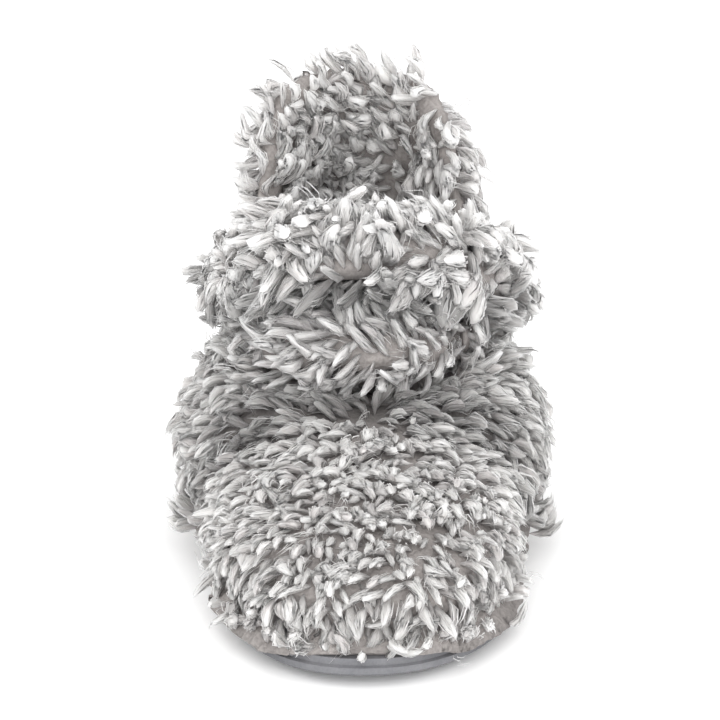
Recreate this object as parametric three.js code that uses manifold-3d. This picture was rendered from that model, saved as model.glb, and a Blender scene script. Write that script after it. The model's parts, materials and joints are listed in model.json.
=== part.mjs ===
// Bootie slipper for the left foot: deep tufted pile inside and out, an ankle tube that slouches
// into one fold, a collar turned down over its front and sides and standing tall at the back,
// and a flat moulded sole under a foam footbed.
// Millimetres. The toe points along -Y, +X is the lateral side and +Z is up. Y runs from the
// sole's toe tip, until the last lines centre the slipper over its own footprint.
import * as THREE from 'three';
import { mergeVertices } from 'three/addons/utils/BufferGeometryUtils.js';
import Module from 'manifold-3d';

const wasm = await Module();
wasm.setup();

// Driving sizes
const soleLength = 262;
const ballWidth = 100; // the sole's width at the ball of the foot
const instepHeight = 69; // top of the vamp, where the ankle tube stands on it
const ankleWidth = 90; // across the ankle tube, without its fold
const backHeight = 160; // the standing back of the collar, without its tufts
const gap = 0.3; // clearance between pieces that touch

const soleThickness = 8;
const toeSpring = 2.5;
const archLift = 2;
const lugDepth = 2;
const lugWidth = 7;
const lugPitch = 13;
const lugInset = 7; // from the sole's edge to the ends of the lugs
const soleStep = 1.4; // the lower band of the sole's side stands this much proud

const insoleThickness = 5;
const insoleInset = 8; // from the sole's edge to the footbed's edge

const wall = 8; // backing, lining and the matted root of the pile
const edgeTuck = 7; // how far the wall's bottom edge reaches in over the sole
const edgeDrop = 3; // how far it hangs over the sole's side
const toeSetback = 2; // the wall starts this far behind the sole's toe tip
const heelOverhang = 3;

const seamRise = 14; // the seam of foot and ankle tube climbs this much from front to back
const foldDepth = 9; // how far the slouch fold stands out
const cuffThickness = 15;
const cuffDrop = 24; // height of the turned-down cuff
const cuffReach = 104; // degrees from the front centre to each end of the cuff

const tuftLength = 9;
const tuftHeight = 6;
const tuftHang = 8; // tufts over the sole's edge stop this high above the floor

// The sole from toe to heel: its middle line and half width, as shares of the ball width
const soleRows = [
  { at: 0.0, middle: 0.01, half: 0.46 },
  { at: 0.3, middle: 0.045, half: 0.5 },
  { at: 0.55, middle: 0.03, half: 0.42 },
  { at: 0.8, middle: 0.0, half: 0.38 },
  { at: 1.0, middle: 0.0, half: 0.36 },
];

// The foot's outside from toe to heel: middle and half width as shares of the ball width, heights
// of the ridge and of the widest line as shares of the instep. The vamp's seam is the dip at 0.4.
const footRows = [
  { at: 0.0, middle: 0.025, half: 0.53, ridge: 0.66, belt: 0.34 },
  { at: 0.14, middle: 0.02, half: 0.54, ridge: 0.7, belt: 0.34 },
  { at: 0.3, middle: 0.01, half: 0.565, ridge: 0.82, belt: 0.36 },
  { at: 0.4, middle: 0.005, half: 0.545, ridge: 0.92, belt: 0.38 },
  { at: 0.46, middle: 0.01, half: 0.615, ridge: 1.06, belt: 0.38 },
  { at: 0.58, middle: 0.015, half: 0.665, ridge: 1.28, belt: 0.38 },
  { at: 0.72, middle: 0.01, half: 0.625, ridge: 1.34, belt: 0.38 },
  { at: 0.86, middle: 0.0, half: 0.55, ridge: 1.38, belt: 0.38 },
  { at: 1.0, middle: 0.0, half: 0.5, ridge: 1.38, belt: 0.38 },
];

// The ankle tube by shares of the back's height: half width as a share of the ankle width, front
// and back lines as shares of the sole's length
const tubeRows = [
  { at: 0.2, half: 0.54, front: 0.44, back: 1.0 },
  { at: 0.44, half: 0.52, front: 0.46, back: 1.0 },
  { at: 0.6, half: 0.5, front: 0.49, back: 0.985 },
  { at: 0.76, half: 0.48, front: 0.515, back: 0.975 },
  { at: 0.9, half: 0.485, front: 0.52, back: 0.965 },
  { at: 1.0, half: 0.475, front: 0.53, back: 0.955 },
];

// The tube's upper edge by degrees from the front, as shares of the back's height
const edgeRows = [
  { at: 0, medial: 0.755, lateral: 0.755 },
  { at: 28, medial: 0.735, lateral: 0.735 },
  { at: 55, medial: 0.66, lateral: 0.66 },
  { at: 78, medial: 0.61, lateral: 0.605 },
  { at: 91, medial: 0.65, lateral: 0.64 },
  { at: 104, medial: 0.755, lateral: 0.74 },
  { at: 118, medial: 0.875, lateral: 0.86 },
  { at: 134, medial: 0.955, lateral: 0.94 },
  { at: 155, medial: 0.995, lateral: 0.98 },
  { at: 180, medial: 1.0, lateral: 1.0 },
];

// The cuff from its medial to its lateral end: its top as a share of the back's height, and the
// shares of its own thickness and height
const cuffRows = [
  { at: 0.0, top: 0.665, thick: 0.95, tall: 1.0 },
  { at: 0.12, top: 0.66, thick: 0.95, tall: 1.0 },
  { at: 0.24, top: 0.71, thick: 0.95, tall: 1.0 },
  { at: 0.37, top: 0.785, thick: 0.95, tall: 1.0 },
  { at: 0.5, top: 0.805, thick: 1.0, tall: 0.95 },
  { at: 0.63, top: 0.785, thick: 1.05, tall: 1.0 },
  { at: 0.76, top: 0.71, thick: 1.1, tall: 1.0 },
  { at: 0.88, top: 0.655, thick: 1.2, tall: 1.1 },
  { at: 1.0, top: 0.65, thick: 1.35, tall: 1.15 },
];

// The slouch fold in the tube's wall, by shares of the way from the seam to the upper edge
const foldRows = [
  { at: -0.1, out: -0.3 },
  { at: 0.0, out: 0.0 },
  { at: 0.1, out: 0.7 },
  { at: 0.28, out: 1.0 },
  { at: 0.44, out: 0.75 },
  { at: 0.56, out: 0.0 },
  { at: 1.0, out: 0.0 },
];

const { clamp, degToRad, radToDeg, smoothstep, lerp } = THREE.MathUtils;

// A column of a table at any place between its rows, on a smooth curve
function read(rows, name, at) {
  let i = 0;
  while (i < rows.length - 2 && at > rows[i + 1].at) i++;
  const [low, high] = [rows[i], rows[i + 1]];
  const slope = (a, b) => (b[name] - a[name]) / (b.at - a.at);
  const chord = slope(low, high);
  const start = i > 0 ? (slope(rows[i - 1], low) + chord) / 2 : chord;
  const end = i < rows.length - 2 ? (chord + slope(high, rows[i + 2])) / 2 : chord;
  const span = high.at - low.at;
  const t = clamp((at - low.at) / span, 0, 1);
  const eased = lerp(low[name], high[name], t * t * (3 - 2 * t));
  return eased + t * (1 - t) * span * ((1 - t) * start - t * end);
}

// 0 at the end of a form, 1 from `length` inwards, round between
function roundEnd(distance, length, power) {
  const t = clamp(1 - distance / length, 0, 1);
  return (1 - t ** power) ** (1 / power);
}

// Shares from 0 to 1, closer together towards both ends
const closeToEnds = (v) => (1 - Math.cos(Math.PI * v)) / 2;

const bow = (value, power) => Math.sign(value) * Math.abs(value) ** power;

// Repeatable scatter from -1 to 1
function scatter(a, b) {
  const wave = Math.sin(12.9898 * a + 78.233 * b + 0.5) * 43758.5453;
  return (wave - Math.floor(wave)) * 2 - 1;
}

// Solids

function solid(geometry) {
  const bare = geometry.clone();
  bare.deleteAttribute('normal');
  bare.deleteAttribute('uv');
  const merged = mergeVertices(bare, 1e-3);
  const corners = [];
  for (let i = 0; i < merged.index.count; i += 3) {
    const [a, b, c] = [0, 1, 2].map((k) => merged.index.getX(i + k));
    if (a !== b && b !== c && c !== a) corners.push(a, b, c);
  }
  const vertProperties = new Float32Array(merged.attributes.position.array);
  const triVerts = new Uint32Array(corners);
  return new wasm.Manifold(new wasm.Mesh({ numProp: 3, vertProperties, triVerts }));
}

// A closed skin over rows of corners, each row staggered half a step against the next. The
// corners make diamonds, and `tuft` may draw out the middle of a diamond. Rows run on into the
// first one where they are joined, and otherwise end in two points.
function skin({ corner, columns, rows, joined = false, tuft = () => null }) {
  const points = [];
  const faces = [];
  const at = (column, row) => {
    const wrapped = joined ? (row + rows) % rows : row;
    return corner(((column + (wrapped % 2) / 2) / columns + 1) % 1, wrapped / rows);
  };
  const face = (a, b, c) => {
    points.push(a, b, c);
    faces.push(points.length - 3, points.length - 2, points.length - 1);
  };
  for (let row = joined ? 0 : 1; row < rows; row++) {
    for (let column = 0; column < columns; column++) {
      const over = column + (row % 2);
      const [left, right] = [at(column, row), at(column + 1, row)];
      const [before, after] = [at(over, row - 1), at(over, row + 1)];
      const middle = left.clone().add(right).add(before).add(after).multiplyScalar(0.25);
      const normal = right.clone().sub(left).cross(after.clone().sub(before)).normalize();
      const share = { u: ((column + 0.5 + (row % 2) / 2) / columns) % 1, v: row / rows };
      const room = Math.min(left.distanceTo(right), before.distanceTo(after));
      const drawn = tuft({ ...share, middle, normal, room, row, column });
      if (!drawn) {
        face(left, before, right);
        face(right, after, left);
        continue;
      }
      const tip = middle.add(drawn);
      for (const [a, b] of [[left, before], [before, right], [right, after], [after, left]]) {
        face(a, b, tip);
      }
    }
  }
  const geometry = new THREE.BufferGeometry().setFromPoints(points);
  geometry.setIndex(faces);
  return solid(geometry);
}

// A tuft's tip, off the skin and combed along `flow`, shorter where the diamond is small
function tuftTip({ normal, room, row, column }, flow, full = 1) {
  const size = full * Math.min(1, room / tuftLength);
  const comb = flow.clone().addScaledVector(normal, -flow.dot(normal)).normalize();
  const out = tuftHeight * size * (1 + 0.3 * scatter(row, column));
  const along = tuftLength * size * (1 + 0.3 * scatter(column, row));
  return normal.clone().multiplyScalar(out).addScaledVector(comb, along);
}

// A solid with a thin coat of air round it, from copies moved towards a tetrahedron's corners
function withGap(made) {
  const ways = [[1, 1, 1], [1, -1, -1], [-1, 1, -1], [-1, -1, 1]];
  const copies = ways.map((way) => made.translate(way.map((part) => part * gap)));
  return wasm.Manifold.union([made, ...copies]);
}

// The largest closed body of a solid: loose crumbs of cut tufts and sealed pockets go
function mainBody(made) {
  const bodies = made.decompose();
  return bodies.reduce((most, body) => (body.volume() > most.volume() ? body : most));
}

function piece(name, made, material) {
  const { vertProperties, triVerts } = made.getMesh();
  const geometry = new THREE.BufferGeometry();
  geometry.setAttribute('position', new THREE.BufferAttribute(vertProperties, 3));
  geometry.setIndex(new THREE.BufferAttribute(triVerts, 1));
  geometry.computeVertexNormals();
  const mesh = new THREE.Mesh(geometry, material);
  mesh.name = name;
  return mesh;
}

// The sole

const springAt = (run) => toeSpring * clamp(1 - run / (soleLength * 0.24), 0, 1) ** 2;
const soleTopAt = (run) => soleThickness + springAt(run);
const soleMiddle = (run) => ballWidth * read(soleRows, 'middle', run / soleLength);

function archAt(run) {
  const share = run / soleLength;
  return archLift * smoothstep(share, 0.42, 0.52) * (1 - smoothstep(share, 0.6, 0.7));
}

function soleHalf(run) {
  const toe = roundEnd(run, soleLength * 0.33, 2.25);
  const heel = roundEnd(soleLength - run, soleLength * 0.16, 2.2);
  return ballWidth * read(soleRows, 'half', run / soleLength) * toe * heel;
}

// A plate of the sole's outline. Its side goes up through `edge`: shares of the height, each
// with how far it lies in from the outline.
function plate({ edge, low, high, rows }) {
  const ring = [];
  for (const { height, inset } of edge) ring.push({ side: 'medial', height, inset });
  for (const { height, inset } of [...edge].reverse()) ring.push({ side: 'lateral', height, inset });
  const points = [];
  const faces = [];
  for (let row = 0; row <= rows; row++) {
    const share = closeToEnds(row / rows);
    for (const { side, height, inset } of ring) {
      const run = lerp(inset, soleLength - inset, share);
      const half = soleHalf(share * soleLength) * (1 - (2 * inset) / ballWidth);
      const x = soleMiddle(run) + (side === 'lateral' ? half : -half);
      points.push(new THREE.Vector3(x, run, lerp(low(run), high(run), height)));
    }
  }
  const count = ring.length;
  for (let row = 0; row < rows; row++) {
    for (let i = 0; i < count; i++) {
      const [a, b] = [row * count + i, row * count + ((i + 1) % count)];
      faces.push(a, b, b + count, a, b + count, a + count);
    }
  }
  // The two ends close where both sides meet
  for (let i = 1; i < count - 1; i++) {
    faces.push(0, i + 1, i);
    const last = rows * count;
    faces.push(last, last + i, last + i + 1);
  }
  const geometry = new THREE.BufferGeometry().setFromPoints(points);
  geometry.setIndex(faces);
  return solid(geometry);
}

const straightEdge = (inset) => [
  { height: 0, inset },
  { height: 1, inset },
];

function makeOutsole() {
  const body = plate({
    edge: [
      { height: 0, inset: soleStep },
      { height: 0.15, inset: 0 },
      { height: 0.5, inset: 0 },
      { height: 0.6, inset: soleStep },
      { height: 1, inset: soleStep },
    ],
    low: (run) => lugDepth + springAt(run) + archAt(run),
    high: soleTopAt,
    rows: 32,
  });
  const treadField = plate({
    edge: straightEdge(lugInset),
    low: () => -lugDepth,
    high: () => soleThickness / 2,
    rows: 16,
  });
  const bars = [];
  const [archStart, archEnd] = [soleLength * 0.44, soleLength * 0.68];
  for (let run = lugPitch; run < soleLength - lugPitch; run += lugPitch) {
    if (run > archStart && run < archEnd) continue;
    const outline = new THREE.Shape();
    outline.moveTo(-ballWidth, run + lugWidth);
    outline.quadraticCurveTo(0, run - lugWidth, ballWidth, run + lugWidth);
    outline.lineTo(ballWidth, run + 2 * lugWidth);
    outline.quadraticCurveTo(0, run, -ballWidth, run + 2 * lugWidth);
    const bar = new THREE.ExtrudeGeometry(outline, {
      depth: soleThickness / 2 + archLift,
      bevelEnabled: false,
      curveSegments: 4,
    });
    bar.translate(0, 0, springAt(run + lugWidth));
    bars.push(solid(bar));
  }
  return body.add(wasm.Manifold.union(bars).intersect(treadField));
}

// The foot

// A point on the foot's outside, or on the hollow inside it when `inset` is the wall. u runs
// round the section from the bottom's middle over the medial side, v from toe to heel.
function footPoint(u, v, inset = 0) {
  const start = toeSetback + inset;
  const end = soleLength + heelOverhang - inset;
  const run = lerp(start, end, closeToEnds(v));
  const onSole = clamp(run, 0, soleLength);
  const at = onSole / soleLength;
  const toe = roundEnd(run - start, soleLength * 0.29, 2.5);
  const heel = roundEnd(end - run, soleLength * 0.17, 2.3);
  const round = toe * heel;
  const belt = instepHeight * read(footRows, 'belt', at);
  const widest = (ballWidth * read(footRows, 'half', at) - inset) * round;
  const ridge = belt + (instepHeight * read(footRows, 'ridge', at) - belt - inset) * round;
  const tuck = inset > 0 ? edgeTuck : edgeDrop / 2;
  const tread = clamp(soleHalf(onSole) - tuck, 0, widest);
  const sunk = soleTopAt(onSole) - edgeDrop;
  const floor = lerp(belt, sunk, round ** 0.3);
  const middle = ballWidth * read(footRows, 'middle', at);
  const climb = 2 * Math.min(u, 1 - u); // 0 at the bottom's middle, 1 at the ridge
  const [treadEnd, beltEnd] = [0.14, 0.36];
  const point = new THREE.Vector3(0, run, floor);
  if (climb < treadEnd) {
    point.x = (tread * climb) / treadEnd;
  } else if (climb < beltEnd) {
    const turn = ((climb - treadEnd) / (beltEnd - treadEnd)) * (Math.PI / 2);
    point.x = lerp(tread, widest, Math.sin(turn));
    point.z = lerp(floor, belt, 1 - Math.cos(turn));
  } else {
    const turn = ((climb - beltEnd) / (1 - beltEnd)) * (Math.PI / 2);
    point.x = widest * bow(Math.cos(turn), 0.92);
    point.z = lerp(belt, ridge, bow(Math.sin(turn), 0.92));
  }
  const rise = lerp(1, clamp((climb - treadEnd) / (beltEnd - treadEnd), 0, 1), round);
  point.x = lerp(soleMiddle(onSole), middle, rise) + (u < 0.5 ? -point.x : point.x);
  return point;
}

const seamAt = (run) => instepHeight - 1 + seamRise * clamp((run / soleLength - 0.45) / 0.55, -1, 1.2);

// Everything under the seam of foot and ankle tube, up to `above` it
function underSeam(above) {
  const outline = new THREE.Shape();
  outline.moveTo(-soleLength, -soleLength);
  for (const share of [-1, -0.1, 1.11, 2]) {
    outline.lineTo(soleLength * share, seamAt(soleLength * share) + above);
  }
  outline.lineTo(2 * soleLength, -soleLength);
  const block = new THREE.ExtrudeGeometry(outline, { depth: 3 * ballWidth, bevelEnabled: false });
  block.translate(0, 0, -1.5 * ballWidth);
  block.rotateZ(Math.PI / 2).rotateY(Math.PI / 2);
  return solid(block);
}

// Locks part over the foot's middle and hang outwards, forwards and down
function footTuft(place) {
  const climb = 2 * Math.min(place.u, 1 - place.u);
  if (climb < 0.16) return null;
  const { middle } = place;
  const flow = new THREE.Vector3((1.8 * middle.x) / ballWidth, -0.6, -0.5);
  const tip = tuftTip(place, flow);
  tip.z = Math.max(tip.z, tuftHang - middle.z);
  return tip;
}

// The hollow that the last leaves in the foot
const footHollow = (grow) =>
  skin({ corner: (u, v) => footPoint(u, v, wall - grow), columns: 24, rows: 16 });

function makeUpper() {
  const outside = skin({ corner: footPoint, columns: 30, rows: 26, tuft: footTuft });
  const ankle = tubePlug(instepHeight * 0.4, instepHeight * 1.5, 0);
  const mouth = tubePlug(instepHeight * 0.5, instepHeight * 1.6, -wall);
  const below = plate({
    edge: straightEdge(-gap),
    low: () => -soleThickness,
    high: (run) => soleTopAt(run) + gap,
    rows: 40,
  });
  const whole = outside.add(ankle).subtract(footHollow(0)).subtract(mouth);
  return mainBody(whole.intersect(underSeam(0)).subtract(below));
}

function makeInsole() {
  const bed = plate({
    edge: straightEdge(insoleInset),
    low: (run) => soleTopAt(run) + gap,
    high: (run) => soleTopAt(run) + gap + insoleThickness,
    rows: 24,
  });
  return bed.intersect(footHollow(-gap));
}

// The ankle tube

// Degrees from the front, 0 to 180, of a turn in radians
const degreesOf = (turn) => Math.abs(radToDeg(Math.atan2(Math.sin(turn), Math.cos(turn))));

// A point of the tube's outside at a height, `grow` outwards
function tubePoint(turn, height, grow) {
  const at = clamp(height / backHeight, tubeRows[0].at, 1);
  const half = ankleWidth * read(tubeRows, 'half', at) + grow;
  const front = soleLength * read(tubeRows, 'front', at) - grow;
  const back = soleLength * read(tubeRows, 'back', at) + grow;
  const x = half * bow(Math.sin(turn), 0.88);
  const y = (front + back) / 2 - ((back - front) / 2) * bow(Math.cos(turn), 0.88);
  return new THREE.Vector3(x, y, height);
}

function edgeAt(turn) {
  const side = Math.sin(turn) > 0 ? 'lateral' : 'medial';
  return backHeight * read(edgeRows, side, degreesOf(turn));
}

// A point of the tube's wall, `share` of the way from the seam to the upper edge. The slouch
// fold fades out towards the back.
function wallPoint(turn, share, grow) {
  const seam = seamAt(tubePoint(turn, instepHeight, 0).y);
  const height = lerp(seam, edgeAt(turn), share);
  const slack = 1 - 0.85 * smoothstep(degreesOf(turn), 30, 110);
  return tubePoint(turn, height, grow + foldDepth * slack * read(foldRows, 'out', share));
}

// A solid of the tube's own shape between two heights
function tubePlug(low, high, grow) {
  const levels = 6;
  const corner = (u, v) => {
    const level = Math.round(v * (levels + 2)) - 1;
    const height = lerp(low, high, clamp(level / levels, 0, 1));
    const [front, back] = [tubePoint(0, height, grow), tubePoint(Math.PI, height, grow)];
    if (level < 0 || level > levels) return front.lerp(back, 0.5);
    return tubePoint(u * 2 * Math.PI, height, grow);
  };
  return skin({ corner, columns: 36, rows: levels + 2 });
}

// The wall's section as a closed walk: up the outside, over the edge and down the inside
const wallWalk = [
  ...[-0.1, 0, 0.09, 0.19, 0.29, 0.39, 0.49, 0.6, 0.71, 0.82, 0.92].map((share) => ({
    share,
    depth: 0,
  })),
  { share: 1, depth: 0.3 },
  { share: 1, depth: 0.7 },
  ...[0.92, 0.8, 0.67, 0.53, 0.37, 0.15, -0.1].map((share) => ({ share, depth: 1 })),
];

function makeTubeWall(grow, tuft) {
  const corner = (u, v) => {
    const { share, depth } = wallWalk[Math.round(v * wallWalk.length) % wallWalk.length];
    const spread = grow * (1 - 2 * depth);
    const point = wallPoint(u * 2 * Math.PI, share, spread - depth * wall);
    if (share === 1) point.z += grow;
    return point;
  };
  return skin({ corner, columns: 32, rows: wallWalk.length, joined: true, tuft });
}

// Locks hang down outside, and stand up inside the tall back
function tubeTuft(place) {
  const { share, depth } = wallWalk[place.row];
  const turn = place.u * 2 * Math.PI;
  const degrees = degreesOf(turn);
  const underCuff = share > 0.5 && degrees < cuffReach + 6;
  if (underCuff || share < 0.05) return null;
  if (depth === 1 && (share < 0.5 || degrees < cuffReach)) return null;
  const side = 0.5 * Math.sin(turn) + 0.4 * scatter(place.column, place.row);
  return tuftTip(place, new THREE.Vector3(side, 0, depth > 0 ? 1 : -1), depth > 0 ? 0.8 : 1);
}

// The cuff

// A point on the cuff's skin: u runs round its section, v from end to end
function cuffPoint(u, v) {
  const turn = degToRad(lerp(-cuffReach, cuffReach, 0.35 * closeToEnds(v) + 0.65 * v));
  const left = cuffReach - Math.abs(radToDeg(turn));
  const end = roundEnd(left, 18, 2.4);
  const angle = -u * 2 * Math.PI;
  const thickness = cuffThickness * read(cuffRows, 'thick', v);
  const height = cuffDrop * read(cuffRows, 'tall', v);
  const middle = backHeight * read(cuffRows, 'top', v) - height / 2;
  const across = ((thickness + wall) / 2) * end;
  const tall = (height / 2) * end;
  const out = (thickness - wall) / 2 + across * bow(Math.cos(angle), 0.75);
  return tubePoint(turn, middle + tall * bow(Math.sin(angle), 0.75), out);
}

function cuffTuft(place) {
  const angle = place.u * 2 * Math.PI;
  if (Math.cos(angle) < -0.5) return null;
  const { middle } = place;
  const flow = new THREE.Vector3((3 * middle.x) / ankleWidth, 0.6 * scatter(place.row, place.column), -0.6);
  return tuftTip(place, flow);
}

const cuffSkin = () => skin({ corner: cuffPoint, columns: 14, rows: 30, tuft: cuffTuft });

// Materials
const material = (color, roughness) => new THREE.MeshStandardMaterial({ color, roughness, metalness: 0 });
const frostedPile = material('#c9c6c4', 0.95);
const linedPile = material('#b3b0b0', 0.95);
const greyRubber = material('#6a696d', 0.8);
const foam = material('#b9b7b5', 0.9);

const foot = underSeam(gap);
const cuff = cuffSkin().subtract(makeTubeWall(2 * gap)).subtract(foot);
const tufts = makeTubeWall(0, tubeTuft).subtract(withGap(cuffSkin()));
const shaft = makeTubeWall(0).add(tufts).subtract(foot);

const slipper = new THREE.Group();
slipper.add(piece('outsole', makeOutsole(), greyRubber));
slipper.add(piece('insole', makeInsole(), foam));
slipper.add(piece('upper', makeUpper(), frostedPile));
slipper.add(piece('shaft', mainBody(shaft), linedPile));
slipper.add(piece('cuff', mainBody(cuff), frostedPile));

// The origin lies in the middle of the footprint, on the floor
const footprint = new THREE.Box3().setFromObject(slipper);
const middle = footprint.getCenter(new THREE.Vector3());
slipper.position.set(-middle.x, -middle.y, -footprint.min.z);

export default slipper;
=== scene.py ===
import json
import math

import bmesh
import bpy
import numpy as np
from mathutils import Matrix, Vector, noise

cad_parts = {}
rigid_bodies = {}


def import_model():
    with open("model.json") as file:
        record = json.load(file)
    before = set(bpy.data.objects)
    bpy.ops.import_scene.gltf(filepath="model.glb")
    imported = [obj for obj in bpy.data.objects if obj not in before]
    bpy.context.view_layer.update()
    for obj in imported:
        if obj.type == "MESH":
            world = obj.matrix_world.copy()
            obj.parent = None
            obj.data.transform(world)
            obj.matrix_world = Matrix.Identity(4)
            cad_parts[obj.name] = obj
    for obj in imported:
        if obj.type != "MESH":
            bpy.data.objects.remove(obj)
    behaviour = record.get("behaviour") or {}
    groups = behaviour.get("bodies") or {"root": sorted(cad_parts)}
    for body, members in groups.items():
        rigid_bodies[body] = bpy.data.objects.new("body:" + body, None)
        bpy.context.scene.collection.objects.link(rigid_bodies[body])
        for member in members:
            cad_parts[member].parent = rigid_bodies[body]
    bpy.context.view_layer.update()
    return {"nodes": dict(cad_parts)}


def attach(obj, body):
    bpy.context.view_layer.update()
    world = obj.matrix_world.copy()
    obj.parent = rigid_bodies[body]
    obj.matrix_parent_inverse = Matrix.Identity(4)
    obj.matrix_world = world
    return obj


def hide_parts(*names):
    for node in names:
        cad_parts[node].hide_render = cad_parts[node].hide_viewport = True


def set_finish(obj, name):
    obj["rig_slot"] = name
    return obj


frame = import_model()
print("frame loaded")

mm = 0.001


def toLinear(code):
    channels = [int(code[i:i + 2], 16) / 255 for i in (1, 3, 5)]
    return tuple(c / 12.92 if c <= 0.04045 else ((c + 0.055) / 1.055) ** 2.4 for c in channels) + (1.0,)


def setInput(tree, node, key, value):
    if isinstance(value, bpy.types.NodeSocket):
        tree.links.new(value, node.inputs[key])
    else:
        node.inputs[key].default_value = value


def addNode(tree, kind, settings=None, inputs=None):
    node = tree.nodes.new(kind)
    for name, value in (settings or {}).items():
        setattr(node, name, value)
    for key, value in (inputs or {}).items():
        setInput(tree, node, key, value)
    return node


def addRamp(tree, factor, stops):
    ramp = addNode(tree, "ShaderNodeValToRGB", None, {"Fac": factor})
    ramp.color_ramp.elements.remove(ramp.color_ramp.elements[1])
    for i, (place, code) in enumerate(stops):
        stop = ramp.color_ramp.elements[0] if i == 0 else ramp.color_ramp.elements.new(place)
        stop.position = place
        stop.color = toLinear(code)
    return ramp.outputs["Color"]


def startMaterial(name):
    material = bpy.data.materials.new(name)
    material.use_nodes = True
    material.node_tree.nodes.clear()
    return material, material.node_tree


def endMaterial(tree, inputs):
    shader = addNode(tree, "ShaderNodeBsdfPrincipled", None, inputs)
    addNode(tree, "ShaderNodeOutputMaterial", None, {"Surface": shader.outputs["BSDF"]})


def addObject(name, mesh):
    made = bpy.data.objects.new(name, mesh)
    bpy.context.scene.collection.objects.link(made)
    return made


# Camera

camera = {
    "elevation": 17,
    "focal": 4172,  # in pixels of a picture 720 wide
    "width": 720,
    "distance": 1.4,
    "anchor": (-0.002, -0.1338, 0.0045),  # the toe end of the sole
    "anchorBelow": 317,  # pixels from the middle of the picture down to the anchor
}


def makeCamera():
    tilt = math.radians(camera["elevation"])
    forward = Vector((0, math.cos(tilt), -math.sin(tilt)))
    up = Vector((0, math.sin(tilt), math.cos(tilt)))
    lens = bpy.data.cameras.new("camera")
    lens.sensor_width = 36
    lens.lens = lens.sensor_width * camera["focal"] / camera["width"]
    lens.clip_start, lens.clip_end = 0.05, 20
    eye = addObject("camera", lens)
    rise = camera["distance"] * camera["anchorBelow"] / camera["focal"]
    eye.location = Vector(camera["anchor"]) - forward * camera["distance"] + up * rise
    eye.rotation_euler = (math.radians(90 - camera["elevation"]), 0, 0)
    bpy.context.scene.camera = eye


makeCamera()
print("camera placed")

# Materials


def addPaintedShade(tree, colour):
    # Painted shade: the colour is darkened by a per-point attribute where shade falls, in seams, creases,
    # hollows, under the cuff, along the hem and on the footbed
    paintedShade = addNode(tree, "ShaderNodeAttribute", {"attribute_name": "paintedShade"}).outputs["Fac"]
    left = addNode(tree, "ShaderNodeMapRange", None, {"Value": paintedShade, "To Min": 1.0, "To Max": 0.4})
    return addNode(tree, "ShaderNodeMix", {"data_type": "RGBA", "blend_type": "MULTIPLY"},
                   {0: 1.0, 6: colour, 7: left.outputs["Result"]}).outputs[2]


def frostedPile(name, tips, roots, patch):
    # Polyester long pile: matt fibre that scatters light, off-white towards the tip of a lock and warm grey
    # at its root, with fine streaks along it.
    material, tree = startMaterial(name)
    uv = addNode(tree, "ShaderNodeUVMap", {"uv_map": "UVMap"}).outputs["UV"]
    along = addNode(tree, "ShaderNodeSeparateXYZ", None, {"Vector": uv}).outputs["Y"]
    tone = addNode(tree, "ShaderNodeAttribute", {"attribute_name": "tone"}).outputs["Fac"]
    apart = addNode(tree, "ShaderNodeMath", {"operation": "MULTIPLY"}, {0: tone, 1: 90.0}).outputs[0]
    shift = addNode(tree, "ShaderNodeCombineXYZ", None, {"Z": apart}).outputs["Vector"]
    # Fourteen streaks round a tuft, drawn out along it: about 1 mm each, coarser than the real fibre
    streakPlace = addNode(tree, "ShaderNodeVectorMath", {"operation": "MULTIPLY_ADD"},
                          {0: uv, 1: (7.0, 1.4, 1.0), 2: shift}).outputs["Vector"]
    streak = addNode(tree, "ShaderNodeTexNoise", None,
                     {"Vector": streakPlace, "Scale": 1.0, "Detail": 3.0, "Roughness": 0.6}).outputs["Fac"]
    blurred = addNode(tree, "ShaderNodeMath", {"operation": "MULTIPLY_ADD"},
                      {0: streak, 1: 0.7, 2: -0.35}).outputs[0]
    place = addNode(tree, "ShaderNodeMath", {"operation": "ADD"}, {0: along, 1: blurred}).outputs[0]
    light = addRamp(tree, place, [(0.0, roots[0]), (0.25, roots[1]), (0.48, tips[1]), (0.7, tips[0])])
    dull = addRamp(tree, place, [(0.0, roots[0]), (0.45, roots[1]), (0.95, tips[2])])
    # About a quarter of the locks are mostly root colour
    share = addNode(tree, "ShaderNodeMapRange", None,
                    {"Value": tone, "From Min": 0.1, "From Max": 0.4}).outputs["Result"]
    colour = addNode(tree, "ShaderNodeMix", {"data_type": "RGBA"}, {0: share, 6: dull, 7: light}).outputs[2]
    where = addNode(tree, "ShaderNodeTexCoord").outputs["Object"]
    cloud = addNode(tree, "ShaderNodeTexNoise", None,
                    {"Vector": where, "Scale": 1 / (22 * mm), "Detail": 2.0}).outputs["Fac"]
    faded = addNode(tree, "ShaderNodeMapRange", None,
                    {"Value": cloud, "From Min": 0.3, "From Max": 0.7, "To Min": 1 - patch, "To Max": 1.0})
    colour = addNode(tree, "ShaderNodeMix", {"data_type": "RGBA", "blend_type": "MULTIPLY"},
                     {0: 1.0, 6: colour, 7: faded.outputs["Result"]}).outputs[2]
    shade = addNode(tree, "ShaderNodeAttribute", {"attribute_name": "shade"}).outputs["Fac"]
    strand = addNode(tree, "ShaderNodeMapRange", None, {"Value": shade, "To Min": 0.84, "To Max": 1.04})
    colour = addNode(tree, "ShaderNodeMix", {"data_type": "RGBA", "blend_type": "MULTIPLY"},
                     {0: 1.0, 6: colour, 7: strand.outputs["Result"]}).outputs[2]
    colour = addPaintedShade(tree, colour)
    bump = addNode(tree, "ShaderNodeBump", None,
                   {"Strength": 0.7, "Distance": 0.5 * mm, "Height": streak}).outputs["Normal"]
    endMaterial(tree, {"Base Color": colour, "Roughness": 0.9, "Specular IOR Level": 0.25,
                       "Sheen Weight": 0.2, "Sheen Roughness": 0.5, "Subsurface Weight": 1.0,
                       "Subsurface Radius": (1.0, 1.0, 1.0), "Subsurface Scale": 9 * mm, "Normal": bump})
    return material


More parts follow.
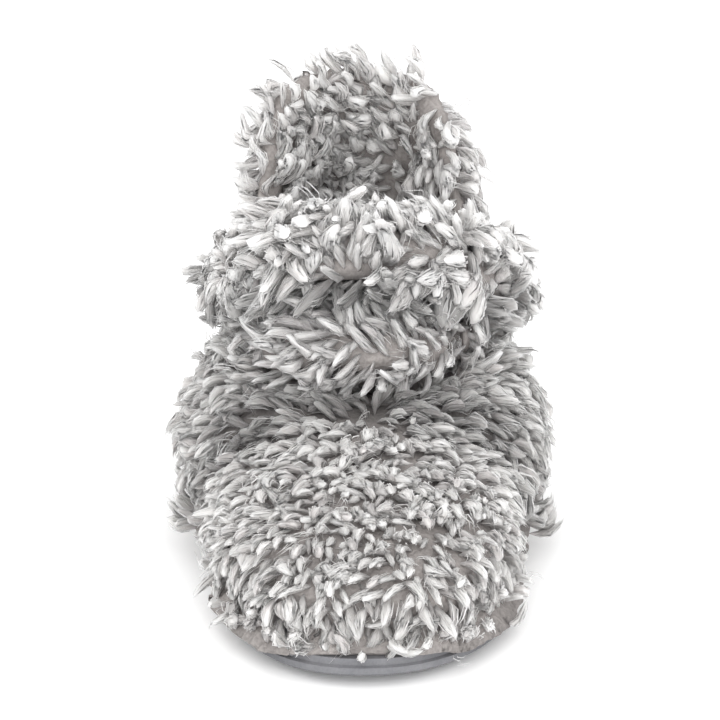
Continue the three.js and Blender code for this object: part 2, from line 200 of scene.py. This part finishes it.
def backingInPaintedShade(name, code):
    # The knitted backing seen between the locks: dull and fuzzy, and painted dark as the shade between the
    # locks
    material, tree = startMaterial(name)
    where = addNode(tree, "ShaderNodeTexCoord").outputs["Object"]
    fuzz = addNode(tree, "ShaderNodeTexNoise", None,
                   {"Vector": where, "Scale": 1 / (1.5 * mm), "Detail": 4.0}).outputs["Fac"]
    colour = addPaintedShade(tree, addRamp(tree, fuzz, [(0.3, code[0]), (0.7, code[1])]))
    bump = addNode(tree, "ShaderNodeBump", None,
                   {"Strength": 0.8, "Distance": 1 * mm, "Height": fuzz}).outputs["Normal"]
    endMaterial(tree, {"Base Color": colour, "Roughness": 0.95, "Specular IOR Level": 0.2, "Normal": bump})
    return material


def soleRubber(name):
    # Moulded thermoplastic rubber: dull charcoal grey with a fine spark-eroded grain
    material, tree = startMaterial(name)
    where = addNode(tree, "ShaderNodeTexCoord").outputs["Object"]
    grain = addNode(tree, "ShaderNodeTexNoise", None,
                    {"Vector": where, "Scale": 1 / (0.7 * mm), "Detail": 3.0}).outputs["Fac"]
    scuff = addNode(tree, "ShaderNodeTexNoise", None,
                    {"Vector": where, "Scale": 1 / (14 * mm), "Detail": 4.0}).outputs["Fac"]
    mixed = addNode(tree, "ShaderNodeMath", {"operation": "MULTIPLY_ADD"},
                    {0: grain, 1: 0.5, 2: scuff}).outputs[0]
    colour = addRamp(tree, mixed, [(0.5, "#606165"), (0.95, "#77777a")])
    bump = addNode(tree, "ShaderNodeBump", None,
                   {"Strength": 0.35, "Distance": 0.15 * mm, "Height": grain}).outputs["Normal"]
    endMaterial(tree, {"Base Color": colour, "Roughness": 0.62, "Normal": bump})
    return material


upperPile = frostedPile("frosted long pile", ("#f6f4f1", "#ebe8e5", "#d2ccca"), ("#aba5a5", "#d3cecc"), 0.1)
shaftPile = frostedPile("frosted long pile of the tube", ("#f6f4f2", "#ebe8e6", "#d0cbca"),
                        ("#b0abab", "#dad6d5"), 0.1)
# Painted light: the cuff's copy of the pile has lighter roots for the brighter, softer light on the cuff,
# and slightly darker tips so the lit tips don't burn out
cuffPile = frostedPile("frosted long pile of the cuff", ("#efedeb", "#e8e6e4", "#d6d3d1"),
                       ("#b8b3b2", "#dedad8"), 0.06)
# Painted light: the lining's copy of the pile is lighter, standing in for light on the inside of the tube
# where the cuff and back shade it
liningPile = frostedPile("frosted long pile of the lining", ("#fbf9f7", "#f3f1ee", "#dedad8"),
                         ("#c2bdbc", "#e4e0de"), 0.06)
# Painted shade: the backing is dark so bare spots read as shadow between the locks
backing = backingInPaintedShade("knitted backing", ("#8a8583", "#a39e9b"))
rubber = soleRubber("moulded rubber")
print("materials made")

# Backing under the pile: each CAD solid's form with its tufts smoothed away

skin = {
    "voxel": 3 * mm,
    "passes": 9,
    "pull": 0.5,
    "evening": 2,  # rounds of averaging in crests
    "crest": (0.06, 0.26),  # mm that a corner stands proud, at the start and the end of a crest
}


def smoothCopy(node, name):
    mesh = frame["nodes"][node].data.copy()
    work = bmesh.new()
    work.from_mesh(mesh)
    bmesh.ops.remove_doubles(work, verts=work.verts, dist=0.01 * mm)
    work.to_mesh(mesh)
    work.free()
    rough = addObject(name + "Rough", mesh)
    remesh = rough.modifiers.new("remesh", "REMESH")
    remesh.mode = "VOXEL"
    remesh.voxel_size = skin["voxel"]
    smooth = rough.modifiers.new("smooth", "SMOOTH")
    smooth.factor = skin["pull"]
    smooth.iterations = skin["passes"]
    made = addObject(name, readBack(rough))
    bpy.data.objects.remove(rough)
    made.data.materials.clear()
    made.data.materials.append(backing)
    made.data.shade_smooth()
    return made


def readBack(obj):
    graph = bpy.context.evaluated_depsgraph_get()
    return bpy.data.meshes.new_from_object(obj.evaluated_get(graph))


def readPoints(mesh):
    places = np.zeros(len(mesh.vertices) * 3)
    normals = np.zeros(len(mesh.vertices) * 3)
    mesh.vertices.foreach_get("co", places)
    mesh.vertices.foreach_get("normal", normals)
    return places.reshape(-1, 3) / mm, normals.reshape(-1, 3)


def writeField(mesh, name, values):
    kind = "FLOAT" if values.ndim == 1 else "FLOAT_VECTOR"
    if name in mesh.attributes:
        mesh.attributes.remove(mesh.attributes[name])
    field = mesh.attributes.new(name, kind, "POINT")
    field.data.foreach_set("value" if values.ndim == 1 else "vector", values.astype(np.float32).ravel())


def clouds(places, size, seed):
    away = Vector((seed * 7.3, seed * 3.1, seed * 5.7))
    return np.array([noise.noise(Vector(p) / size + away) for p in places])


def sinkGround(ground, depth):
    # Moves the backing in along its normals by a depth in mm, and never lower than it reached before
    p, n = readPoints(ground.data)
    moved = p - n * depth[:, None]
    moved[:, 2] = np.maximum(moved[:, 2], p[:, 2].min())
    moved *= mm
    ground.data.vertices.foreach_set("co", moved.ravel())
    ground.data.update()


def crests(mesh):
    # How far each corner stands proud of its neighbours, 0 on flat ground and 1 on a sharp rim
    places, normals = readPoints(mesh)
    ends = np.zeros(len(mesh.edges) * 2, int)
    mesh.edges.foreach_get("vertices", ends)
    ends = ends.reshape(-1, 2)

    def neighbourMean(values):
        total, count = np.zeros_like(values), np.zeros(len(values))
        for a, b in ((0, 1), (1, 0)):
            np.add.at(total, ends[:, a], values[ends[:, b]])
            np.add.at(count, ends[:, a], 1)
        return (total.T / np.maximum(count, 1)).T

    proud = ((places - neighbourMean(places)) * normals).sum(1)
    for _ in range(skin["evening"]):
        proud = neighbourMean(proud)
    return ease(proud, *skin["crest"])


hem = {
    "clear": 5.5,  # mm between the floor and the tips
    "longest": 1.3,  # times the mean length
    "shortest": 0.3,
    "floor": 1.0,  # mm, where a tip that still comes lower is bent
}


def clearFloor(pile, comb, places, length):
    # Shortens locks that hang, so that even the longest draw stops above the floor
    room = np.maximum(places[:, 2] - hem["clear"], 0) / np.maximum(-comb[:, 2], 0.05)
    return np.minimum(pile, np.maximum(room / (hem["longest"] * length / mm), hem["shortest"]))


def ease(values, low, high):
    t = np.clip((values - low) / (high - low), 0, 1)
    return t * t * (3 - 2 * t)


def along(directions, normals, turn):
    flat = directions - normals * (directions * normals).sum(1, keepdims=True)
    flat /= np.maximum(np.linalg.norm(flat, axis=1, keepdims=True), 1e-6)
    side = np.cross(normals, flat)
    return flat * np.cos(turn)[:, None] + side * np.sin(turn)[:, None]


def columns(*values):
    return np.stack(np.broadcast_arrays(*values), axis=1).astype(float)


# Locks of pile

tuftShapes = {
    "kinds": 14,
    "sides": 5,
    "rings": (0.0, 0.2, 0.45, 0.68, 0.84),
    "girths": (0.3, 0.8, 1.0, 0.92, 0.64),
    "core": 0.85,
    "strands": 11,
    "fibre": 0.1,  # a strand's width as a share of the tuft's
    "spots": (0.12, 0.46, 0.8, 1.0),  # where along the tuft a strand starts, bends and ends
    "gather": 0.65,  # how far its strands come together at the tip
    "sway": 1.1,
    "rise": (0.3, 1.0),
}
clumpShapes = dict(tuftShapes, kinds=10, sides=7, strands=15, fibre=0.075, gather=0.5, sway=1.0,
                   rise=(0.3, 0.8))
plainShapes = dict(tuftShapes, kinds=10, strands=8, fibre=0.11)
shortShapes = dict(tuftShapes, kinds=6, strands=3, fibre=0.12)
foldShapes = dict(tuftShapes, kinds=10, strands=14, fibre=0.085, gather=0.55)
strayShapes = dict(tuftShapes, kinds=8, sides=0, strands=4, fibre=0.075, gather=0.0, sway=1.0,
                   rise=(0.4, 1.6))


def tuftMesh(name, shapes, seed):
    # One length long along X and one width wide, its root at the origin: a soft core with strands on it
    draw = np.random.default_rng(seed)
    sides = shapes["sides"]
    sway, rise = draw.uniform(-1, 1) * shapes["sway"], draw.uniform(*shapes["rise"])
    curls, turned = draw.uniform(0.5, 1.3), draw.uniform(0, math.pi)
    flat, twist, wave = draw.uniform(0.6, 0.9), draw.uniform(-1.4, 1.4), draw.uniform(0, 2 * math.pi)
    uneven = tuple(g * draw.uniform(0.75, 1.25) for g in shapes["girths"])
    points, faces, shades = [], [], []

    def place(t, angle, radius):
        aside = sway * (math.sin(math.pi * curls * t + turned) - math.sin(turned))
        up = rise * math.sin(math.pi * 0.85 * t) * (1 - 0.3 * t)
        return (t, aside + radius * math.cos(angle), up + radius * flat * math.sin(angle))

    def tube(rings, count, first, last, shade):
        start = len(points)
        points.append(first)
        for ring in rings:
            points.extend(ring)
        points.append(last)
        shades.extend([shade] * (len(points) - start))
        end = len(points) - 1
        for k in range(count):
            n = (k + 1) % count
            faces.append((start, start + 1 + n, start + 1 + k))
            for r in range(len(rings) - 1):
                a, b = start + 1 + r * count, start + 1 + (r + 1) * count
                faces.append((a + k, a + n, b + n, b + k))
            faces.append((end - count + k, end - count + n, end))

    def girth(t):
        return 0.5 * float(np.interp(t, shapes["rings"] + (1.0,), uneven + (0.1,)))

    if sides:
        rings = []
        for t in shapes["rings"]:
            around = [2 * math.pi * k / sides + twist * t for k in range(sides)]
            rings.append([place(t, a, shapes["core"] * girth(t) * (1 + 0.15 * math.cos(2 * a + wave))
                                * draw.uniform(0.8, 1.2)) for a in around])
        tube(rings, sides, place(-0.04, 0, 0), place(0.95, 0, 0), 0.45)
    for j in range(shapes["strands"]):
        angle = 2 * math.pi * (j + draw.uniform(-0.3, 0.3)) / shapes["strands"]
        reach, tight = draw.uniform(0.7, 1.08), shapes["gather"] + draw.uniform(-0.35, 0.35)
        bend, fibre = draw.uniform(-0.7, 0.7), 0.5 * shapes["fibre"] * draw.uniform(0.7, 1.4)
        line = []
        for i, spot in enumerate(shapes["spots"]):
            t = spot * reach if i else spot
            out = girth(min(t, 1)) * (1.0 if i < 3 else 0.6) + (0.35 * (1 - tight) if i == 3 else 0)
            line.append(place(t, angle + twist * t + bend * i / 3, out))
        rings = [[(x, y + fibre * math.cos(c), z + fibre * math.sin(c)) for c in (0.5, 2.6, 4.7)]
                 for x, y, z in line[1:3]]
        tube(rings, 3, line[0], line[3], draw.uniform(0.2, 1.0))
    mesh = bpy.data.meshes.new(name)
    mesh.from_pydata(points, [], faces)
    layer = mesh.uv_layers.new(name="UVMap")
    for loop in mesh.loops:
        x, y, z = points[loop.vertex_index]
        layer.data[loop.index].uv = (math.atan2(z - rise * 0.5, y) / math.pi, x)
    shade = mesh.attributes.new("shade", "FLOAT", "POINT")
    shade.data.foreach_set("value", shades)
    mesh.shade_smooth()
    return mesh


def makeTufts(name, shapes, seed):
    group = bpy.data.collections.new(name)
    for i in range(shapes["kinds"]):
        kind = f"{name}{i:02d}"
        group.objects.link(bpy.data.objects.new(kind, tuftMesh(kind, shapes, seed + i)))
    return group


def pileTree():
    tree = bpy.data.node_groups.new("pile", "GeometryNodeTree")
    face = tree.interface
    for name, kind in (("Geometry", "NodeSocketGeometry"), ("Tufts", "NodeSocketCollection"),
                       ("Spacing", "NodeSocketFloat"), ("Most", "NodeSocketFloat"),
                       ("Length", "NodeSocketFloat"), ("Width", "NodeSocketFloat"),
                       ("Spread", "NodeSocketFloat"), ("Kinds", "NodeSocketInt"),
                       ("Seed", "NodeSocketInt"), ("Material", "NodeSocketMaterial")):
        face.new_socket(name, in_out="INPUT", socket_type=kind)
    face.new_socket("Geometry", in_out="OUTPUT", socket_type="NodeSocketGeometry")
    given = addNode(tree, "NodeGroupInput").outputs

    def field(name, kind):
        return addNode(tree, "GeometryNodeInputNamedAttribute", {"data_type": kind},
                       {"Name": name}).outputs[0]

    def draw(low, high, offset):
        seed = addNode(tree, "ShaderNodeMath", {"operation": "ADD"}, {0: given["Seed"], 1: float(offset)})
        node = addNode(tree, "FunctionNodeRandomValue", {"data_type": "FLOAT"}, {"Seed": seed.outputs[0]})
        for index, value in ((2, low), (3, high)):
            setInput(tree, node, index, value)
        return node.outputs[1]

    def calculate(operation, first, second):
        return addNode(tree, "ShaderNodeMath", {"operation": operation}, {0: first, 1: second}).outputs[0]

    # A bare sheet is taken away first, or its points would crowd out those of a sheet close behind it
    bare = calculate("LESS_THAN", field("cover", "FLOAT"), 0.02)
    covered = addNode(tree, "GeometryNodeDeleteGeometry", {"domain": "FACE"},
                      {"Geometry": given["Geometry"], "Selection": bare}).outputs[0]
    points = addNode(tree, "GeometryNodeDistributePointsOnFaces", {"distribute_method": "POISSON"},
                     {"Mesh": covered, "Distance Min": given["Spacing"], "Density Max": given["Most"],
                      "Density Factor": field("cover", "FLOAT"), "Seed": given["Seed"]})
    normal = points.outputs["Normal"]
    aside = draw(calculate("MULTIPLY", given["Spread"], -1.0), given["Spread"], 1)
    comb = addNode(tree, "ShaderNodeVectorRotate", {"rotation_type": "AXIS_ANGLE"},
                   {"Vector": field("comb", "FLOAT_VECTOR"), "Axis": normal,
                    "Angle": aside}).outputs["Vector"]
    lift = calculate("ADD", field("lift", "FLOAT"), draw(-0.22, 0.22, 2))
    lying = addNode(tree, "ShaderNodeVectorMath", {"operation": "SCALE"},
                    {0: comb, "Scale": calculate("COSINE", lift, 0.0)}).outputs["Vector"]
    standing = addNode(tree, "ShaderNodeVectorMath", {"operation": "SCALE"},
                       {0: normal, "Scale": calculate("SINE", lift, 0.0)}).outputs["Vector"]
    heading = addNode(tree, "ShaderNodeVectorMath", {"operation": "ADD"},
                      {0: lying, 1: standing}).outputs["Vector"]
    turned = addNode(tree, "FunctionNodeAlignRotationToVector", {"axis": "X"},
                     {"Vector": heading}).outputs[0]
    turned = addNode(tree, "FunctionNodeAlignRotationToVector", {"axis": "Z", "pivot_axis": "X"},
                     {"Rotation": turned, "Vector": normal}).outputs[0]
    rolled = addNode(tree, "ShaderNodeCombineXYZ", None, {"X": draw(-0.6, 0.6, 3)}).outputs["Vector"]
    roll = addNode(tree, "FunctionNodeEulerToRotation", None, {"Euler": rolled}).outputs[0]
    turned = addNode(tree, "FunctionNodeRotateRotation", {"rotation_space": "LOCAL"},
                     {"Rotation": turned, "Rotate By": roll}).outputs[0]
    long = calculate("MULTIPLY", calculate("MULTIPLY", given["Length"], field("pile", "FLOAT")),
                     draw(0.72, 1.25, 4))
    wide = calculate("MULTIPLY", calculate("MULTIPLY", given["Width"], field("fat", "FLOAT")),
                     draw(0.65, 1.3, 5))
    size = addNode(tree, "ShaderNodeCombineXYZ", None, {"X": long, "Y": wide, "Z": wide}).outputs["Vector"]
    shapes = addNode(tree, "GeometryNodeCollectionInfo", None,
                     {"Collection": given["Tufts"], "Separate Children": True,
                      "Reset Children": True}).outputs[0]
    chosen = addNode(tree, "FunctionNodeRandomValue", {"data_type": "INT"}, {"Seed": given["Seed"]})
    chosen.inputs[4].default_value = 0
    tree.links.new(calculate("SUBTRACT", given["Kinds"], 1.0), chosen.inputs[5])
    placed = addNode(tree, "GeometryNodeInstanceOnPoints", None,
                     {"Points": points.outputs["Points"], "Instance": shapes, "Pick Instance": True,
                      "Instance Index": chosen.outputs[2], "Rotation": turned, "Scale": size}).outputs[0]
    toned = addNode(tree, "GeometryNodeStoreNamedAttribute", {"data_type": "FLOAT", "domain": "INSTANCE"},
                    {"Geometry": placed, "Name": "tone", "Value": draw(0.0, 1.0, 6)}).outputs[0]
    real = addNode(tree, "GeometryNodeRealizeInstances", None, {"Geometry": toned}).outputs[0]
    painted = addNode(tree, "GeometryNodeSetMaterial", None,
                      {"Geometry": real, "Material": given["Material"]}).outputs[0]
    addNode(tree, "NodeGroupOutput", None, {"Geometry": painted})
    return tree


pile = pileTree()
tufts = makeTufts("tuft", tuftShapes, 11)
clumps = makeTufts("clump", clumpShapes, 31)
plain = makeTufts("plain", plainShapes, 71)
short = makeTufts("short", shortShapes, 91)
foldTufts = makeTufts("fold", foldShapes, 111)
strays = makeTufts("stray", strayShapes, 51)

crowd = 1e6  # points a square metre before those too near each other are taken out


def growPile(name, ground, cover, values, kinds, material):
    writeField(ground.data, "cover", cover)
    grown = addObject(name, ground.data.copy())
    grower = grown.modifiers.new("pile", "NODES")
    grower.node_group = pile
    sockets = {item.name: item.identifier for item in pile.interface.items_tree if item.in_out == "INPUT"}
    inputs = dict(values, Most=crowd, Tufts=kinds, Material=material, Kinds=len(kinds.objects))
    for key, value in inputs.items():
        grower[sockets[key]] = value
    mesh = readBack(grown)
    grown.modifiers.clear()
    old = grown.data
    grown.data = mesh
    bpy.data.meshes.remove(old)
    mesh.name = name
    places = readPoints(mesh)[0]
    places[:, 2] = np.maximum(places[:, 2], hem["floor"])
    mesh.vertices.foreach_set("co", (places * mm).ravel())
    for attribute in [a.name for a in mesh.attributes if a.name in ("comb", "lift", "pile", "fat", "cover")]:
        mesh.attributes.remove(mesh.attributes[attribute])
    triangles = sum(len(p.vertices) - 2 for p in mesh.polygons)
    print(name, triangles, "triangles")
    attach(grown, "root")
    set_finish(grown, ground["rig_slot"])


def settle(piece, node, slot):
    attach(piece, "root")
    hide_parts(node)
    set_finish(piece, slot)


# Foot part: vamp and quarters

upperPlan = {
    "vampEnd": -26,  # y of the seam between vamp and quarters
    "centreX": 2,
    "hang": 0.5,
    "sink": 5.0,
    "hemIn": 2.5,  # the backing is drawn in at the hem, in mm like all depths here
    "sideIn": 5.5,  # more so along the sides
    "waistIn": 2.5,  # and under the cuff
    "down": 1.5,  # its lower edge goes down to the sole, which the smoothing drew it away from
    "notch": 7.0,  # the seam draws in this much more on the sides
    "vamp": {"Spacing": 3.4 * mm, "Length": 11 * mm, "Width": 3.7 * mm, "Spread": 0.7, "Seed": 3},
    "front": {"Spacing": 3.6 * mm, "Length": 12.5 * mm, "Width": 4.2 * mm, "Spread": 0.6, "Seed": 5},
    "back": {"Spacing": 4.2 * mm, "Length": 13 * mm, "Width": 5.0 * mm, "Spread": 0.5, "Seed": 9},
    "inside": {"Spacing": 5.5 * mm, "Length": 9 * mm, "Width": 5.4 * mm, "Spread": 0.9, "Seed": 8},
    "strays": {"Spacing": 7.5 * mm, "Length": 12 * mm, "Width": 4 * mm, "Spread": 0.9, "Seed": 7},
}


def combUpper(ground):
    p, n = readPoints(ground.data)
    x, y, z = p.T
    fromMiddle = columns(x - upperPlan["centreX"], y - np.clip(y, -80, 88), z - 32)
    outer = ease((fromMiddle * n).sum(1) / np.linalg.norm(fromMiddle, axis=1), -0.05, 0.15)
    seam = np.exp(-((y - upperPlan["vampEnd"] + 2) / 6) ** 2) * ease(np.abs(x), 18, 40)
    low = 1 - ease(z, 12, 34)
    high = ease(z, 45, 60) * ease(y, -20, 0)
    bottom = ease(-n[:, 2], 0.4, 0.8) * (1 - ease(z, 12, 16))
    depth = upperPlan["sink"] + upperPlan["notch"] * seam * ease(z, 8, 20) + upperPlan["hemIn"] * low
    depth = depth + upperPlan["sideIn"] * (1 - ease(z, 25, 50)) * ease(np.abs(x), 28, 45)
    depth = depth + upperPlan["waistIn"] * high
    sinkGround(ground, depth * outer * (1 - bottom) - upperPlan["down"] * bottom)
    spine = np.clip(y, upperPlan["vampEnd"] - 4, 85)
    way = columns(x - upperPlan["centreX"], y - spine, 0 * x)
    way /= np.maximum(np.linalg.norm(way, axis=1, keepdims=True), 1e-6)
    way[:, 2] -= upperPlan["hang"]
    turn = 0.8 * clouds(p, 24, 1) + 0.7 * clouds(p, 9, 2)
    comb = along(way, n, turn)
    writeField(ground.data, "comb", comb)
    writeField(ground.data, "lift", 0.32 - 0.15 * low + 0.2 * crests(ground.data) + 0.3 * clouds(p, 12, 3))
    long = 1.0 + 0.2 * clouds(p, 16, 4)
    writeField(ground.data, "pile", clearFloor(long, comb, p, upperPlan["front"]["Length"]))
    writeField(ground.data, "fat", 1.0 + 0.1 * low + 0.3 * clouds(p, 14, 5))
    aboveHem = ease(z, 6.5, 9) * (1 - bottom)
    front = 1 - ease(y, upperPlan["vampEnd"] - 1, upperPlan["vampEnd"] + 1)
    crease = np.exp(-((y + 24) / 11) ** 2) * ease(z, 50, 60)
    # Painted shade at the vamp seam, in the crease where the vamp meets the tube and along the hem; the
    # quarters are also made a little darker overall
    writeField(ground.data, "paintedShade", np.clip(0.9 * seam + 1.2 * crease + 0.25 * (1 - ease(z, 8, 13))
                                               + 0.4 * (1 - front), 0, 1))
    inner = (1 - outer) * ease(y, -30, -20) * ease(z, 16, 22)
    return outer * aboveHem * (1 - 0.6 * seam), front, ease(y, 44, 46), inner


upperGround = smoothCopy("upper", "upperBacking")
settle(upperGround, "upper", "frosted_pile")
upperOuter, upperVamp, upperHeel, upperInner = combUpper(upperGround)
growPile("vampPile", upperGround, upperOuter * upperVamp, upperPlan["vamp"], tufts, upperPile)
growPile("quarterPile", upperGround, upperOuter * (1 - upperVamp) * (1 - upperHeel), upperPlan["front"],
         tufts, upperPile)
growPile("heelPile", upperGround, upperOuter * upperHeel, upperPlan["back"], plain, upperPile)
growPile("bootLining", upperGround, upperInner, upperPlan["inside"], short, shaftPile)
growPile("upperStrays", upperGround, upperOuter, upperPlan["strays"], strays, upperPile)
print("foot part covered")

# Ankle tube with its fold and tall back

shaftPlan = {
    "middleY": 58,
    "foldZ": 84,
    "creases": ((68, 5), (105, 7)),  # height and half width of the troughs under and over the fold, in mm
    "sink": 4.5,
    "sideIn": 8,
    "topIn": 6.0,
    "bulge": 3.5,  # how far the slouch fold is pushed out, and 1.6 times that for the creases drawn in
    "hollow": (8, 122),  # x and z of the hollow inside the back, which gets a little painted shade
    "fold": {"Spacing": 3.3 * mm, "Length": 13.5 * mm, "Width": 5.0 * mm, "Spread": 0.5, "Seed": 13},
    "back": {"Spacing": 4.1 * mm, "Length": 13 * mm, "Width": 5.0 * mm, "Spread": 0.5, "Seed": 19},
    "inside": {"Spacing": 3.6 * mm, "Length": 11.5 * mm, "Width": 4.8 * mm, "Spread": 0.55, "Seed": 15},
    "strays": {"Spacing": 6 * mm, "Length": 12 * mm, "Width": 4 * mm, "Spread": 0.9, "Seed": 17},
}


def combShaft(ground):
    p, n = readPoints(ground.data)
    x, y, z = p.T
    outward = columns(x / 45, (y - shaftPlan["middleY"]) / 65, 0 * x)
    outward /= np.linalg.norm(outward, axis=1, keepdims=True)
    facing = (outward * n).sum(1)
    outer = ease(facing, -0.1, 0.15)
    front = 1 - ease(y, 30, 75)
    fold = np.exp(-((z - shaftPlan["foldZ"]) / 9) ** 2)
    crease = sum(np.exp(-((z - height) / width) ** 2) for height, width in shaftPlan["creases"])
    depth = shaftPlan["sink"] + shaftPlan["bulge"] * (1.6 * crease - fold) * front
    depth += shaftPlan["sideIn"] * ease(np.abs(x), 25, 40) * (1 - ease(z, 100, 118))
    sinkGround(ground, depth * outer + shaftPlan["topIn"] * ease(z, 148, 162))
    rise = ease(z, shaftPlan["foldZ"] - 7, shaftPlan["foldZ"] + 7) * 2 - 1
    outside = columns(-0.9 * front, 0.25 * (1 - front), front * (0.3 * rise - 0.15) - (1 - front))
    hollowX, hollowZ = shaftPlan["hollow"]
    right = ease(x - hollowX - 0.4 * (z - hollowZ), -6, 18)
    inside = columns(-0.8 + 1.3 * right, -0.2, 0.8 - 1.5 * right)
    way = outside * outer[:, None] + inside * (1 - outer)[:, None]
    turn = 0.8 * clouds(p, 22, 11) + 0.7 * clouds(p, 9, 12)
    writeField(ground.data, "comb", along(way, n, turn))
    writeField(ground.data, "lift", 0.34 + 0.2 * crests(ground.data) + 0.3 * clouds(p, 12, 13))
    writeField(ground.data, "pile", 1.0 + 0.2 * clouds(p, 16, 14))
    writeField(ground.data, "fat", 1.0 + 0.3 * clouds(p, 16, 15))
    mouth = ease(z, 76, 82)
    hollow = np.exp(-((x - hollowX) / 24) ** 2 - ((z - hollowZ) / 20) ** 2) * (1 - outer)
    # Painted shade in the troughs over and under the fold at the front, and a little in the hollow inside
    # the back
    writeField(ground.data, "paintedShade", np.clip(1.2 * crease * front * outer + 0.1 * hollow, 0, 1))
    return outer * (1 - 0.8 * np.minimum(crease, 1) * front), mouth, 1 - ease(y, 34, 36)


shaftGround = smoothCopy("shaft", "shaftBacking")
settle(shaftGround, "shaft", "shaft_pile")
shaftOuter, shaftOpen, shaftFront = combShaft(shaftGround)
growPile("foldPile", shaftGround, shaftOuter * shaftFront, shaftPlan["fold"], foldTufts, shaftPile)
growPile("shaftPile", shaftGround, shaftOuter * (1 - shaftFront), shaftPlan["back"], plain, shaftPile)
growPile("liningPile", shaftGround, (1 - shaftOuter) * shaftOpen, shaftPlan["inside"], plain, liningPile)
growPile("shaftStrays", shaftGround, np.maximum(shaftOuter, shaftOpen), shaftPlan["strays"], strays,
         shaftPile)
print("ankle tube covered")

# Turned-down cuff

cuffPlan = {
    "frontZ": 118,  # height of the middle of the roll in front, in mm
    "sideZ": 96,  # and at the sides
    "sink": 5.5,
    "endIn": 3.5,
    "topIn": 3,
    "tousle": 1.4,  # how much the locks' directions are mixed
    "clumps": {"Spacing": 3.3 * mm, "Length": 15.5 * mm, "Width": 6 * mm, "Spread": 0.6, "Seed": 23},
    "strays": {"Spacing": 5 * mm, "Length": 15 * mm, "Width": 4 * mm, "Spread": 0.9, "Seed": 27},
}


def combCuff(ground):
    p, n = readPoints(ground.data)
    x, y, z = p.T
    outward = columns(x / 60, (y - 45) / 60, 0 * x)
    outer = ease((outward * n).sum(1), -0.45, -0.2)
    # Painted shade on the undersides of the cuff, darker the more they face down
    writeField(ground.data, "paintedShade", ease(-n[:, 2], 0.0, 0.7))
    under = ease(-n[:, 2], 0.1, 0.7)
    ends = ease(np.abs(x), 30, 50)
    endDepth = cuffPlan["endIn"] - np.sign(x) + cuffPlan["topIn"] * ease(n[:, 2], 0.1, 0.7)
    depth = cuffPlan["sink"] + ends * endDepth
    sinkGround(ground, depth * outer * (1 - 0.5 * under))
    middle = cuffPlan["frontZ"] + (cuffPlan["sideZ"] - cuffPlan["frontZ"]) * ease(y, -15, 35)
    way = columns(-0.6 * (1 - ends), -0.2, np.clip((z - middle) / 14, -0.5, 0.8))
    mixed = columns(clouds(p, 18, 21), clouds(p, 18, 22), clouds(p, 18, 23))
    way += cuffPlan["tousle"] * mixed
    writeField(ground.data, "comb", along(way, n, 0.5 * clouds(p, 9, 24)))
    lift = 0.32 - 0.15 * ends + 0.15 * crests(ground.data) + 0.3 * clouds(p, 12, 25)
    writeField(ground.data, "lift", lift)
    writeField(ground.data, "pile", 1.0 - 0.25 * ends + 0.25 * clouds(p, 14, 26))
    writeField(ground.data, "fat", 1.0 + 0.5 * clouds(p, 14, 27))
    return outer


cuffGround = smoothCopy("cuff", "cuffBacking")
settle(cuffGround, "cuff", "cuff_pile")
cuffOuter = combCuff(cuffGround)
growPile("cuffPile", cuffGround, cuffOuter, cuffPlan["clumps"], clumps, cuffPile)
growPile("cuffStrays", cuffGround, cuffOuter, cuffPlan["strays"], strays, cuffPile)
print("cuff covered")

# Footbed

insolePlan = {
    "pile": {"Spacing": 4.8 * mm, "Length": 7 * mm, "Width": 5.2 * mm, "Spread": 1.4, "Seed": 33},
}


def combInsole(ground):
    p, n = readPoints(ground.data)
    way = columns(clouds(p, 15, 31), clouds(p, 15, 32), 0 * p[:, 0])
    writeField(ground.data, "comb", along(way, n, 0 * p[:, 0]))
    for name, value in (("lift", 0.5), ("pile", 1.0), ("fat", 1.0)):
        writeField(ground.data, name, value + 0 * p[:, 0])
    # Painted shade: the whole footbed pile is darkened a little, as it lies inside the boot
    writeField(ground.data, "paintedShade", 0.3 + 0 * p[:, 0])
    return ease(n[:, 2], 0.4, 0.8)


insoleGround = smoothCopy("insole", "footbed")
settle(insoleGround, "insole", "insole_pile")
growPile("footbedPile", insoleGround, combInsole(insoleGround), insolePlan["pile"], short, shaftPile)
print("footbed covered")

# Sole: the CAD solid is kept

sole = frame["nodes"]["outsole"]
sole.data.materials.clear()
sole.data.materials.append(rubber)

for group in (tufts, clumps, plain, short, foldTufts, strays):
    for shape in list(group.objects):
        bpy.data.objects.remove(shape)
    bpy.data.collections.remove(group)

# Studio

studio = {
    "world": 1.25,
    "key": 3.0,
    "fill": 24.0,
    "fillSize": 1.4,
    "fillPlace": (0.1, -1.9, 0.8),
    "keySize": 0.9,
    "keyPlace": (-0.2, -1.1, 1.5),
    "floor": "#fbfbfb",
    "glow": 0.05,  # light through the paper from below
}


def makeStudio():
    world = bpy.data.worlds.new("studio")
    bpy.context.scene.world = world
    world.use_nodes = True
    world.node_tree.nodes["Background"].inputs["Color"].default_value = (1, 1, 1, 1)
    world.node_tree.nodes["Background"].inputs["Strength"].default_value = studio["world"]
    for name in ("key", "fill"):
        lamp = bpy.data.lights.new(name, "AREA")
        lamp.energy = studio[name]
        lamp.size = studio[name + "Size"]
        light = addObject(name, lamp)
        light.location = studio[name + "Place"]
        light.rotation_euler = (Vector((0, 0, 0.06)) - light.location).to_track_quat("-Z", "Y").to_euler()
    material, tree = startMaterial("paper sweep")  # matt white paper, so only the soft contact shadow shows
    endMaterial(tree, {"Base Color": toLinear(studio["floor"]), "Roughness": 1.0, "Specular IOR Level": 0.0,
                       "Emission Color": (1, 1, 1, 1), "Emission Strength": studio["glow"]})
    mesh = bpy.data.meshes.new("floor")
    mesh.from_pydata([(-6, -6, 0), (6, -6, 0), (6, 12, 0), (-6, 12, 0)], [], [(0, 1, 2, 3)])
    mesh.materials.append(material)
    addObject("floor", mesh)
    bpy.context.scene.view_settings.view_transform = "Standard"


makeStudio()
print("studio lit")
